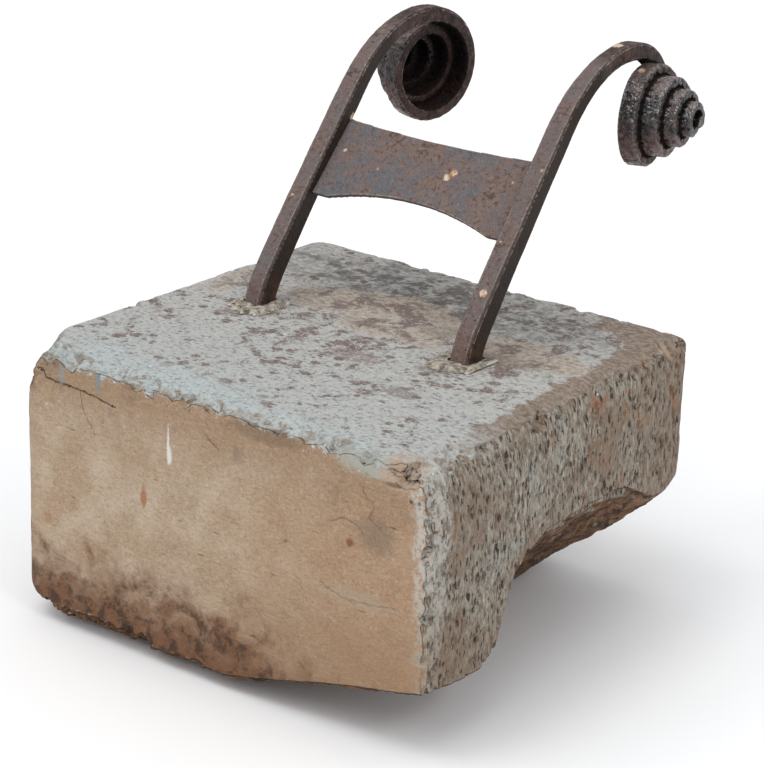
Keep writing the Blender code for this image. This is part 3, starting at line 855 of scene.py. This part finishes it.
def top_stains(s, n, top):
    """Painted shadow of the irons on the top behind them, ochre and brown stains, and the brown back
    right edge.
    """
    wobble = s.centred(n.flow, 2.6)
    # painted shadow: dark blotches where the irons' shadow falls on the top
    irons_shadow_zone = s.spot(s.y, (-0.01, 0.11), (0.14, 0.04), 0.5, wobble)
    shadow_of_irons = s.times(irons_shadow_zone, s.step(s.noise(0.012, 5, 0.7, seed=29), 0.4, 0.6))
    top = s.lay(top, PAINTED_IRON_SHADOW, shadow_of_irons, 0.85)
    ochre = s.blend(n.fine, 0.42, 0.62, OCHRE, OCHRE_LIGHT)
    ochre = s.lay(ochre, OCHRE_BROWN, s.step(n.flow, 0.49, 0.54))
    ochre = s.lay(ochre, OCHRE_PALE, s.step(n.torn, 0.57, 0.62))
    ochre = s.lay(ochre, OCHRE_DARK, s.step(n.torn, 0.44, 0.38), 0.8)
    for centre, size, share in OCHRE_ZONES:
        zone = s.spot(s.y, centre, size, 0.45, wobble)
        top = s.lay(top, ochre, s.step(s.uneven(zone, n.torn, 1.2), 0.35, 0.65), share)
    for centre, size, tint in TOP_STAINS:
        stain = s.spot(s.y, centre, size, 0.75, wobble)
        stain = s.step(s.uneven(stain, n.torn, 3.6), 0.45, 0.65)
        top = s.lay(top, tint, s.without(stain, s.times(n.remnants, 0.8)), 0.62)
    corner = s.spot(s.y, (0.168, 0.155), (0.058, 0.052), 0.08, wobble)
    band = s.step(s.less(s.uneven(s.x, n.flow, 0.045), s.times(s.y, -0.06)), 0.152, 0.158)
    band = s.times(band, s.step(s.y, -0.13, -0.05))
    brown = s.blend(n.fine, 0.42, 0.6, EDGE_BROWN, EDGE_BUFF)
    return s.lay(top, brown, s.most(corner, band), 0.92)


def paint_reach(s, n, top_mask):
    """Where the paint covers: the top, and a ragged lip over the front arris."""
    lip = s.uneven(s.uneven(s.z, n.over, 0.014), n.chipped, 0.022)
    lip = s.times(s.step(lip, TOP_Z - 0.0065, TOP_Z - 0.0055), s.step(s.x, 0.168, 0.15))
    return s.most(top_mask, s.times(lip, s.step(s.normal_y, 0.2, -0.2)))


def rolled_edge(s, n, colour, painted):
    """Drab patches and pale grains where the painted top rolls over."""
    rolled = s.times(s.step(s.normal_z, 0.985, 0.8), painted)
    drab = s.times(rolled, s.step(s.noise(0.014, 5, 0.72, seed=34), 0.43, 0.52))
    pale_grains = s.times(rolled, s.step(n.over, 0.56, 0.64))
    colour = s.lay(colour, s.mix(n.torn, DRAB_BROWN, DRAB_BUFF), drab, 0.75)
    return s.lay(colour, CHALK, pale_grains, 0.55)


def peeled_band(s, n, colour, below):
    """The whitish band of old paint on the right side, next to the near arris."""
    line = s.uneven(s.y, n.torn, 0.02)
    line = s.step(s.less(line, s.times(s.step(s.z, 0.03, 0.2), 0.01)), -0.149, -0.155)
    side = s.uneven(s.x, n.chipped, 0.03)
    side = s.add(side, s.times(s.less(s.z, 0.1), 0.055))
    peel = s.times(line, s.step(side, 0.174, 0.18), s.step(n.over, 0.4, 0.54))
    tint = s.blend(s.z, 0.045, 0.15, PEEL_LOW, PEEL_HIGH)
    return s.lay(colour, tint, s.without(peel, below), 0.78)


def ridges_and_pecks(s, n, colour, painted, below):
    chalky = s.times(s.step(s.attribute("convex"), 0.12, 0.4), s.step(n.torn, 0.54, 0.64))
    sunk = s.times(s.attribute("pecked"), s.step(n.over, 0.36, 0.56))
    colour = s.lay(colour, CHALK, s.without(chalky, below), 0.6)
    return s.lay(colour, DIRT_DARK, s.without(sunk, painted), 0.5)


def marks_and_grains(s, n, colour, front_mask, dirty):
    """Single marks on the front, then pale and dark grains and white flecks everywhere."""
    smear = s.centred(n.over, 1.6)
    for centre, size, tint, share in FRONT_MARKS:
        mark = s.spot(s.z, centre, size, 0.45, smear)
        colour = s.lay(colour, tint, s.times(mark, s.step(s.normal_y, -0.3, -0.6)), share)
    clean_front = s.times(front_mask, s.add(0.6, s.times(dirty, 0.4)))
    colour = s.lay(colour, CHALK, s.without(s.step(n.grain, 0.6, 0.75), clean_front), 0.2)
    colour = s.lay(colour, DIRT_DARK, s.step(n.grain, 0.4, 0.27), 0.28)
    flecks = s.step(s.uneven(s.cells(0.026, seed=30), n.speck, 0.16), 0.034, 0.016)
    return s.lay(colour, FLECK, s.without(flecks, s.times(front_mask, 0.6)), 0.85)


def stone_relief(s, n, front_mask, flakes, pits):
    """Paint flakes, grain, wrinkles on the front, and pits on the other sides."""
    top_mask = s.step(s.normal_z, 0.55, 0.85)
    not_front = s.opposite(front_mask)
    pitted = s.times(s.opposite(s.times(pits, 0.8)), s.without(not_front, top_mask))
    relief = s.bump(flakes, 0.0007, 0.55)
    relief = s.bump(s.times(n.grain, s.add(0.4, s.times(not_front, 0.6))), 0.0007, 0.6, relief)
    relief = s.bump(s.times(n.speck, not_front), 0.003, 0.7, relief)
    relief = s.bump(s.times(n.wrinkles, front_mask), 0.0022, 0.6, relief)
    return s.bump(pitted, 0.0024, 0.9, relief)


def stone_material():
    s = Shader("sandstone")
    n = stone_noises(s)
    front_mask = s.step(s.normal_y, -0.6, -0.9)
    below = s.step(s.normal_z, -0.25, -0.55)
    painted = paint_reach(s, n, s.step(s.normal_z, 0.55, 0.85))
    climb = dirt_climb(s, n)
    dirty = s.step(climb, 0.078, 0.022)
    pits = upright_pits(s, n)
    masks = top_masks(s, n)

    front = front_dirt(s, n, sawn_front(s, n), climb, dirty)
    top = top_stains(s, n, painted_top(s, n, masks))
    belly = s.mix(s.step(s.noise(0.016, 6, 0.72, seed=14), 0.4, 0.6), DIRT_DARK, BELLY)
    colour = s.mix(front_mask, pecked_side(s, n, pits), front)
    colour = s.mix(painted, colour, top)
    colour = rolled_edge(s, n, colour, painted)
    colour = s.mix(below, colour, belly)
    colour = peeled_band(s, n, colour, below)
    colour = ridges_and_pecks(s, n, colour, painted, below)
    colour = marks_and_grains(s, n, colour, front_mask, dirty)

    roughness = s.add(0.7, s.times(n.speck, 0.28))
    flakes = s.times(s.opposite(masks.bare), painted)
    return s.finish(colour, roughness, stone_relief(s, n, front_mask, flakes, pits), 0.25)


# ---- iron: colour


def iron_noises(s):
    n = SimpleNamespace()
    wander = s.noise(0.024, 5, 0.62, seed=21)
    n.mottle = s.noise(0.006, 6, 0.72, seed=22)
    n.small = s.noise(0.0032, 4, 0.7, seed=35)
    n.fine = s.noise(0.0014, 4, 0.72, seed=23)
    blotch = s.add(s.times(wander, 0.36), s.times(n.mottle, 0.34))
    n.blotch = s.add(blotch, s.times(n.small, 0.3))
    return n


def scroll_lining(s, outward):
    """The inside of a scroll's cone, where shade is painted: what faces its axis, and the inner turns'
    flat sides.
    """
    from_y = s.less(s.y, SCROLL_AXIS_Y)
    from_z = s.less(s.z, SCROLL_AXIS_Z)
    reach = s.length(from_y, from_z)
    away = s.add(s.times(s.normal_y, from_y), s.times(s.normal_z, from_z))
    lining = s.step(s.math("DIVIDE", away, reach), -0.1, -0.45)
    side = s.math("SIGN", s.less(SCROLL_MIDDLE_X, s.x))
    flat = s.step(s.times(s.normal_x, side), 0.3, 0.6)
    flat = s.times(flat, s.step(outward, SCROLL_REACH + 0.008, SCROLL_REACH + 0.014))
    return s.times(s.most(lining, flat), s.step(reach, 0.046, 0.04))


def iron_masks(s, on_uprights):
    """Parts of the uprights; on_uprights is 0 for the blade, which has none of them."""
    m = SimpleNamespace()
    side_face = s.step(s.math("ABSOLUTE", s.normal_x), 0.55, 0.85)
    outward = s.math("ABSOLUTE", s.less(s.x, SCROLL_MIDDLE_X))
    m.right_side = s.step(s.x, SCROLL_MIDDLE_X, SCROLL_MIDDLE_X + 0.02)
    coil = s.step(outward, SCROLL_REACH + 0.006, SCROLL_REACH + 0.016)
    coil = s.times(coil, s.add(0.25, s.times(m.right_side, 0.75)))
    m.scroll = s.step(s.y, SCROLL_FROM_Y - 0.014, SCROLL_FROM_Y + 0.01)
    m.hollow = s.times(s.step(s.attribute("sunken"), -0.2, -0.85), on_uprights)
    m.tip = s.step(outward, SCROLL_REACH + 0.041, SCROLL_REACH + 0.045)
    m.tip = s.times(m.tip, m.scroll, on_uprights)
    m.inside = s.without(s.times(scroll_lining(s, outward), m.scroll, on_uprights), m.tip)
    band = s.step(s.z, SCROLL_MID_Z + 0.036, SCROLL_MID_Z + 0.022)
    band = s.times(band, s.opposite(side_face))
    band = s.times(band, s.step(s.y, SCROLL_FROM_Y + 0.002, SCROLL_FROM_Y + 0.012))
    m.scaly = s.times(m.scroll, s.most(coil, s.times(band, 0.9), 0.1), on_uprights)
    m.flank = s.times(side_face, s.times(s.opposite(m.scroll), on_uprights))
    m.ring = s.times(s.without(m.scroll, coil), on_uprights)
    m.foot = s.times(s.step(s.z, TOP_Z + 0.026, TOP_Z + 0.002), on_uprights)
    return m


def forged_skin(s, n, brown, grey):
    colour = s.blend(n.blotch, 0.47, 0.54, brown, grey)
    return s.layers(
        colour,
        (IRON_RUST, n.mottle, 0.52, 0.64, 0.6),
        (IRON_BLACK, n.blotch, 0.475, 0.4, 0.8),
        (IRON_BLOOM, n.small, 0.55, 0.68, 0.35),
        (IRON_BLACK, n.small, 0.46, 0.34, 0.6),
        (IRON_GRAIN, n.fine, 0.54, 0.7, 0.35),
        (IRON_BLACK, n.fine, 0.47, 0.32, 0.6),
    )


def scroll_skin(s, n, m, colour, crest):
    """Flanks darkened as painted shade and rusty rings, then dark scale on the cones with lighter
    crests and rust.
    """
    low_rust = s.times(m.scaly, s.step(s.z, SCROLL_MID_Z - 0.002, SCROLL_MID_Z - 0.03))
    low_rust = s.times(low_rust, s.step(n.mottle, 0.38, 0.5))
    patches = s.most(low_rust, s.times(m.scaly, s.step(n.blotch, 0.53, 0.57)))
    # painted shade: the bars' side faces darkened, below the scrolls
    colour = s.lay(colour, FLANK_PAINTED_SHADE, m.flank, 0.9)
    colour = s.lay(colour, s.blend(n.mottle, 0.42, 0.6, *RING_TINTS), m.ring, 0.93)
    colour = s.lay(colour, RING_SPOT, m.ring, s.step(n.small, 0.57, 0.64), 0.42)
    colour = s.lay(colour, s.blend(n.mottle, 0.44, 0.62, *SCALE_TINTS), m.scaly, 0.9)
    colour = s.lay(colour, s.blend(n.small, 0.4, 0.62, *CREST_TINTS), crest, 0.88)
    return s.lay(colour, s.mix(n.small, *PATCH_TINTS), patches, 0.8)


def iron_edges(s, n, m, colour):
    """Rust at the feet, edges lightened as rubbed wear and painted highlight, and painted shade in
    creases, hollows and the scrolls' insides, except at the cones' tips.
    """
    ridge = s.attribute("convex")
    edge = s.times(s.step(ridge, 0.11, 0.18), s.step(n.mottle, 0.32, 0.48))
    colour = s.lay(colour, FOOT_RUST, m.foot, s.step(n.mottle, 0.4, 0.6), 0.6)
    # painted highlight, partly rubbed wear: ridges lightened along the arrises
    colour = s.lay(colour, IRON_EDGE_WEAR_AND_HIGHLIGHT, s.without(edge, s.times(m.scaly, 0.8)), 0.65)
    # painted shade: creases and concave spots of the iron darkened
    colour = s.lay(colour, IRON_BLACK, s.step(ridge, -0.1, -0.4), 0.6)
    # painted shade: hollows and the inside of the scrolls made near-black
    colour = s.lay(colour, HOLLOW_PAINTED_SHADE, s.most(m.hollow, m.inside), 0.85)
    tip_tint = s.blend(n.mottle, 0.4, 0.6, *TIP_TINTS)
    return s.lay(colour, tip_tint, s.without(m.tip, s.times(m.hollow, 0.5)), 0.85)


def pale_chips(s, n, m, colour):
    chips = s.uneven(s.cells(0.021, seed=25), n.mottle, 0.3)
    chips = s.without(s.step(chips, 0.06, 0.04), m.scroll)
    for centre, size in IRON_CHIPS:
        chips = s.most(chips, s.ball(centre, size, s.centred(n.fine, 1.6)))
    return s.lay(colour, s.blend(n.mottle, 0.44, 0.56, *CHIP_TINTS), chips, 0.9)


def painted_cone_glints(s, n, m, colour, glint):
    """Painted highlights: bright glint grains where the right cone's turns face the light."""
    lit_band = s.times(s.step(s.normal_z, 0.1, 0.32), s.step(s.normal_z, 0.86, 0.62))
    painted_glints = s.step(s.noise(0.0017, 3, 0.65, (1.0, 1.6, 1.0), seed=37), 0.545, 0.605)
    painted_glints = s.times(s.without(painted_glints, m.inside), glint, lit_band, m.right_side)
    # painted highlight: pale grains laid where the lit band of the right cone faces the light
    return s.lay(colour, PAINTED_GLINT, painted_glints, 0.8)


def iron_relief(s, n, m, crest):
    pits = s.step(s.cells(0.0024, seed=24), 0.1, 0.45)
    crust = s.add(0.12, s.without(m.scaly, s.times(crest, 0.65)))
    relief = s.bump(n.fine, 0.0006, 0.6)
    relief = s.bump(pits, 0.0005, 0.4, relief)
    return s.bump(s.times(crust, s.noise(0.0026, 4, 0.7, seed=26)), 0.0034, 1.0, relief)


def iron_material(name, on_uprights, tints):
    s = Shader(name)
    n = iron_noises(s)
    m = iron_masks(s, on_uprights)
    crest = s.times(m.scaly, s.step(s.add(s.normal_z, s.times(n.mottle, 0.6)), 0.7, 1.1))
    glint = s.times(m.scaly, s.step(n.mottle, 0.36, 0.48), s.step(m.hollow, 0.6, 0.2))
    colour = forged_skin(s, n, *tints)
    colour = scroll_skin(s, n, m, colour, crest)
    colour = iron_edges(s, n, m, colour)
    colour = pale_chips(s, n, m, colour)
    colour = painted_cone_glints(s, n, m, colour, glint)
    roughness = s.less(s.add(0.48, s.times(n.fine, 0.25)), s.times(glint, 0.46))
    dull = s.times(s.most(m.flank, m.ring), 0.55)
    shine = s.without(s.add(0.45, s.times(glint, 0.55)), s.most(dull, m.hollow, m.inside))
    return s.finish(colour, roughness, iron_relief(s, n, m, crest), shine)


# ---- iron: shape


def scroll_swell(point):
    """How far the scroll's turns swell here."""
    outward = abs(point.x - SCROLL_MIDDLE_X)
    tip = float(ramp(outward, SCROLL_REACH + 0.036, SCROLL_REACH + 0.044))
    part = float(ramp(point.y, SCROLL_FROM_Y + 0.01, SCROLL_FROM_Y + 0.03))
    return part * (SCROLL_SWELL + (TIP_SWELL - SCROLL_SWELL) * tip)


def scale_on_cones(points, normals):
    """1 on the turns of the scrolls' cones, where scale has built up, 0 on the bars."""
    outward = np.abs(points[:, 0] - SCROLL_MIDDLE_X) - SCROLL_REACH
    band = 0.7 * ramp(points[:, 2], SCROLL_MID_Z + 0.036, SCROLL_MID_Z + 0.02)
    band *= ramp(np.abs(normals[:, 0]), 0.85, 0.55)
    scaly = ramp(points[:, 1], SCROLL_FROM_Y, SCROLL_FROM_Y + 0.022)
    return scaly * np.maximum(ramp(outward, 0.004, 0.012), band)


def build_iron(node, name, material, voxel):
    iron = dense_copy(node, name, voxel, scroll_swell)
    points = read_points(iron)
    edges = read_edges(iron)
    buried = ramp(points[:, 2], TOP_Z - 0.002, TOP_Z + 0.004)[:, None]
    points += (relaxed(points, edges, 1) - points) * buried
    write_points(iron, points)

    normals = read_normals(iron)
    scaly = scale_on_cones(points, normals)
    pocks = ramp(cells_at(points, 0.0042, 33.0), 0.55, 0.1)
    lumps = np.clip(fractal_at(points, 0.0042, 4, 34.0), 0.0, 1.0)
    forged = HAMMER_DEPTH * half_up(noise_at(points, 0.024, 31.0))
    forged += SKIN_DEPTH * half_up(fractal_at(points, 0.006, 3, 32.0))
    forged += SCALE_POCKS * pocks * scaly + BAR_POCKS * pocks * (1.0 - scaly)
    forged += SCALE_LUMPS * lumps * scaly
    points = points - normals * forged[:, None] * buried
    low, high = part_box(node)
    points = np.clip(points, np.array(low), np.array(high))
    write_points(iron, points)

    store(iron, "convex", convexity(iron, points, edges, 5))
    store(iron, "sunken", convexity(iron, points, edges, 45))
    iron.data.materials.append(material)


# ---- lead


def lead_material():
    s = Shader("weathered_lead")
    mottle = s.noise(0.0045, 5, 0.7, seed=41)
    fine = s.noise(0.0012, 4, 0.7, seed=42)
    ridge = s.attribute("convex")
    colour = s.shades(mottle, (0.38, LEAD_DARK), (0.47, LEAD_GREY), (0.6, LEAD_PALE))
    colour = s.layers(
        colour,
        (LEAD_GRAIN, fine, 0.52, 0.66, 0.5),
        # the lead darker on the right foot
        (LEAD_DARKER_ON_RIGHT, s.x, 0.0, 0.02, 0.22),
        (LEAD_RIDGE, ridge, 0.12, 0.4, 0.7),
    )
    # painted shade: concave parts of the lead darkened
    colour = s.lay(colour, LEAD_CREASE_PAINTED_SHADE, s.step(ridge, -0.05, -0.35))
    relief = s.bump(mottle, 0.0016, 0.8)
    relief = s.bump(fine, 0.0007, 0.7, relief)
    return s.finish(colour, s.add(0.5, s.times(fine, 0.35)), relief, 0.35)


def build_lead(node, name, material):
    """The crust round a foot, torn at its rim and lumpy on top."""
    lead = dense_copy(node, name, LEAD_VOXEL)
    points = read_points(lead)
    edges = read_edges(lead)
    points = relaxed(points, edges, 2)
    write_points(lead, points)

    normals = read_normals(lead)
    crust = ramp(points[:, 2], TOP_Z + 0.0002, TOP_Z + 0.0012)
    lumps = np.clip(half_up(fractal_at(points, 0.011, 3, 43.0), 0.7), 0.0, 1.0)
    points = points - normals * (CRUST_LUMPS * lumps * crust)[:, None]
    low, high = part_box(node)
    away = points - (np.array(low) + np.array(high)) / 2
    away[:, 2] = 0.0
    above = ramp(points[:, 2], TOP_Z, TOP_Z + 0.0006)
    rim = ramp(np.linalg.norm(away, axis=1), 0.013, 0.019) * above
    torn = fractal_at(points * (1.0, 1.0, 0.0), 0.0095, 3, 44.0)
    torn = np.clip(half_up(torn, 0.9), 0.0, 1.0)
    points -= away * (CRUST_TEAR * torn * rim)[:, None]
    write_points(lead, points)

    store(lead, "convex", convexity(lead, points, edges, 5))
    lead.data.materials.append(material)


# ---- studio


def build_floor():
    sheet = bpy.data.meshes.new("studio_floor")
    corners = [(FLOOR_REACH * x, FLOOR_REACH * y, 0) for x, y in ((-1, -1), (1, -1), (1, 1), (-1, 1))]
    sheet.from_pydata(corners, [], [(0, 1, 2, 3)])
    floor = bpy.data.objects.new("studio_floor", sheet)
    bpy.context.scene.collection.objects.link(floor)
    s = Shader("studio_white")
    cloud = s.noise(0.9, 3, 0.5, seed=51)
    white = s.mix(cloud, *FLOOR_TINTS)
    floor.data.materials.append(s.finish(white, 0.85, s.bump(cloud, 0.001, 0.1), 0.2))
    floor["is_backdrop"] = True


def build_studio():
    build_floor()
    scene = bpy.context.scene
    scene.view_settings.view_transform = "Standard"
    world = bpy.data.worlds.new("studio")
    world.use_nodes = True
    world.node_tree.nodes["Background"].inputs["Color"].default_value = SKY_COLOUR
    world.node_tree.nodes["Background"].inputs["Strength"].default_value = SKY_STRENGTH
    scene.world = world
    for name, energy, spread in SUNS:
        key = bpy.data.lights.new(name, "SUN")
        key.energy = energy
        key.angle = math.radians(spread)
        key.color = SUN_COLOUR
        add_lamp(key, SUN_PLACE, SUN_AIM)
    side = bpy.data.lights.new("side", "AREA")
    side.shape = "RECTANGLE"
    side.size, side.size_y = SIDE_SIZE
    side.energy = SIDE_WATTS
    add_lamp(side, SIDE_PLACE, SIDE_AIM)


def add_lamp(lamp, place, aim):
    holder = bpy.data.objects.new(lamp.name, lamp)
    holder.location = place
    holder.rotation_euler = (Vector(aim) - Vector(place)).to_track_quat("-Z", "Y").to_euler()
    bpy.context.scene.collection.objects.link(holder)


def build_camera():
    """A long lens, above the stone, looking at its near right corner."""
    camera_data = bpy.data.cameras.new("camera")
    camera_data.sensor_width = CAMERA_SENSOR
    camera_data.lens = CAMERA_LENS
    camera_data.clip_end = CAMERA_SEES
    camera = bpy.data.objects.new("camera", camera_data)
    turn, dip, roll = [math.radians(angle) for angle in (CAMERA_TURN, CAMERA_DIP, CAMERA_ROLL)]
    back = Vector((math.sin(turn) * math.cos(dip), -math.cos(turn) * math.cos(dip), math.sin(dip)))
    level = Vector((math.cos(turn), math.sin(turn), 0.0))
    up = back.cross(level)
    right = math.cos(roll) * level + math.sin(roll) * up
    top = math.cos(roll) * up - math.sin(roll) * level
    axes = Matrix((right, top, back)).transposed().to_4x4()
    camera.matrix_world = Matrix.Translation(CAMERA_PLACE) @ axes
    bpy.context.scene.collection.objects.link(camera)
    bpy.context.scene.camera = camera


def main():
    build_stone()
    bar = iron_material("forged_iron", 1.0, BAR_TINTS)
    plate = iron_material("blade_iron", 0.0, BLADE_TINTS)
    build_iron("left_upright", "left_forging", bar, IRON_VOXEL)
    build_iron("right_upright", "right_forging", bar, IRON_VOXEL)
    build_iron("scraper_blade", "worn_blade", plate, BLADE_VOXEL)
    lead = lead_material()
    build_lead("left_lead_plug", "left_lead", lead)
    build_lead("right_lead_plug", "right_lead", lead)
    build_camera()
    build_studio()
    boxes = [[list(corner) for corner in box] for box in (CAD_BOX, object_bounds())]


main()
